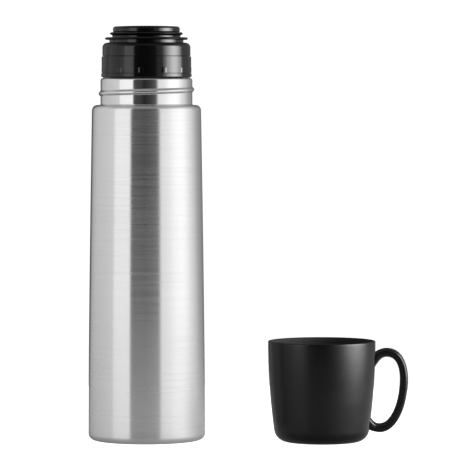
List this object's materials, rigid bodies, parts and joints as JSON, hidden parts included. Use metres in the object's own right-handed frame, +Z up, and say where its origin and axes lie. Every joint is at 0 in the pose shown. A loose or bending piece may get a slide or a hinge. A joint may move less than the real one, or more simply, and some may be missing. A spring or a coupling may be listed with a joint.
{
  "type": "vacuum flask",
  "caption": "Tall tapered steel vacuum flask with a screw stopper, a twist-to-pour stepped knob, and a black mug with a loop handle standing beside it as its cap.",
  "frame": {"origin": "centre of the flask's foot, on the surface that the flask and the mug stand on", "axes": "+Z up along the flask's axis, +X from the flask towards the mug and its handle, +Y away from the viewer"},
  "size_m": [0.2348, 0.0968, 0.3051],
  "materials": {
    "brushed_steel": "brushed stainless steel, brushing runs round the body",
    "bright_steel": "polished stainless steel",
    "inner_steel": "electropolished stainless steel",
    "foil": "thin crinkled foil",
    "getter_metal": "matt sintered metal",
    "solder_glass": "dark glass solder",
    "stopper_plastic": "glossy black polypropylene",
    "mug_plastic": "satin black polypropylene",
    "foam": "rigid insulating foam",
    "silicone": "translucent grey silicone",
    "black_rubber": "black rubber"
  },
  "bodies": {
    "flask": {"outer_shell": "brushed_steel", "bottom_pan": "brushed_steel", "port_cover": "bright_steel", "vacuum_seal": "solder_glass", "inner_wall": "inner_steel", "inner_neck": "inner_steel", "inner_base": "inner_steel", "foil_shield": "foil", "getter": "getter_metal", "getter_clip": "bright_steel"},
    "neck_washer": {"lip_gasket": "black_rubber"},
    "stopper": {"stopper_collar": "stopper_plastic", "stopper_shroud": "stopper_plastic", "stopper_plug": "stopper_plastic", "foam_core": "foam", "plug_floor": "stopper_plastic", "plug_gasket": "silicone"},
    "valve": {"valve_stem": "stopper_plastic", "valve_seal": "silicone", "stem_clip": "bright_steel"},
    "knob": {"pour_knob": "stopper_plastic", "knob_disc": "stopper_plastic", "knob_o_ring": "black_rubber"},
    "cup": {"mug": "mug_plastic"}
  },
  "joints": [
    {"name": "stopper_rise", "type": "slide", "parent": "flask", "child": "neck_washer", "axis": [0, 0, 1], "range_m": [0, 0.0321]},
    {"name": "stopper_turn", "type": "hinge", "parent": "neck_washer", "child": "stopper", "pos_m": [0, 0, 0.25], "axis": [0, 0, 1], "range_deg": [0, 1440]},
    {"name": "valve_rise", "type": "slide", "parent": "stopper", "child": "valve", "axis": [0, 0, 1], "range_m": [0, 0.00452]},
    {"name": "knob_turn", "type": "hinge", "parent": "valve", "child": "knob", "pos_m": [0, 0, 0.295], "axis": [0, 0, 1], "range_deg": [0, 180]},
    {"name": "mug_lift", "type": "slide", "parent": "flask", "child": "cup", "axis": [0, 0, 1], "range_m": [0, 0.15]}
  ],
  "couplings": [
    {"joint": "stopper_rise", "follows": "stopper_turn", "m_per_rad": 0.0012732},
    {"joint": "valve_rise", "follows": "knob_turn", "m_per_rad": 0.0014324}
  ]
}
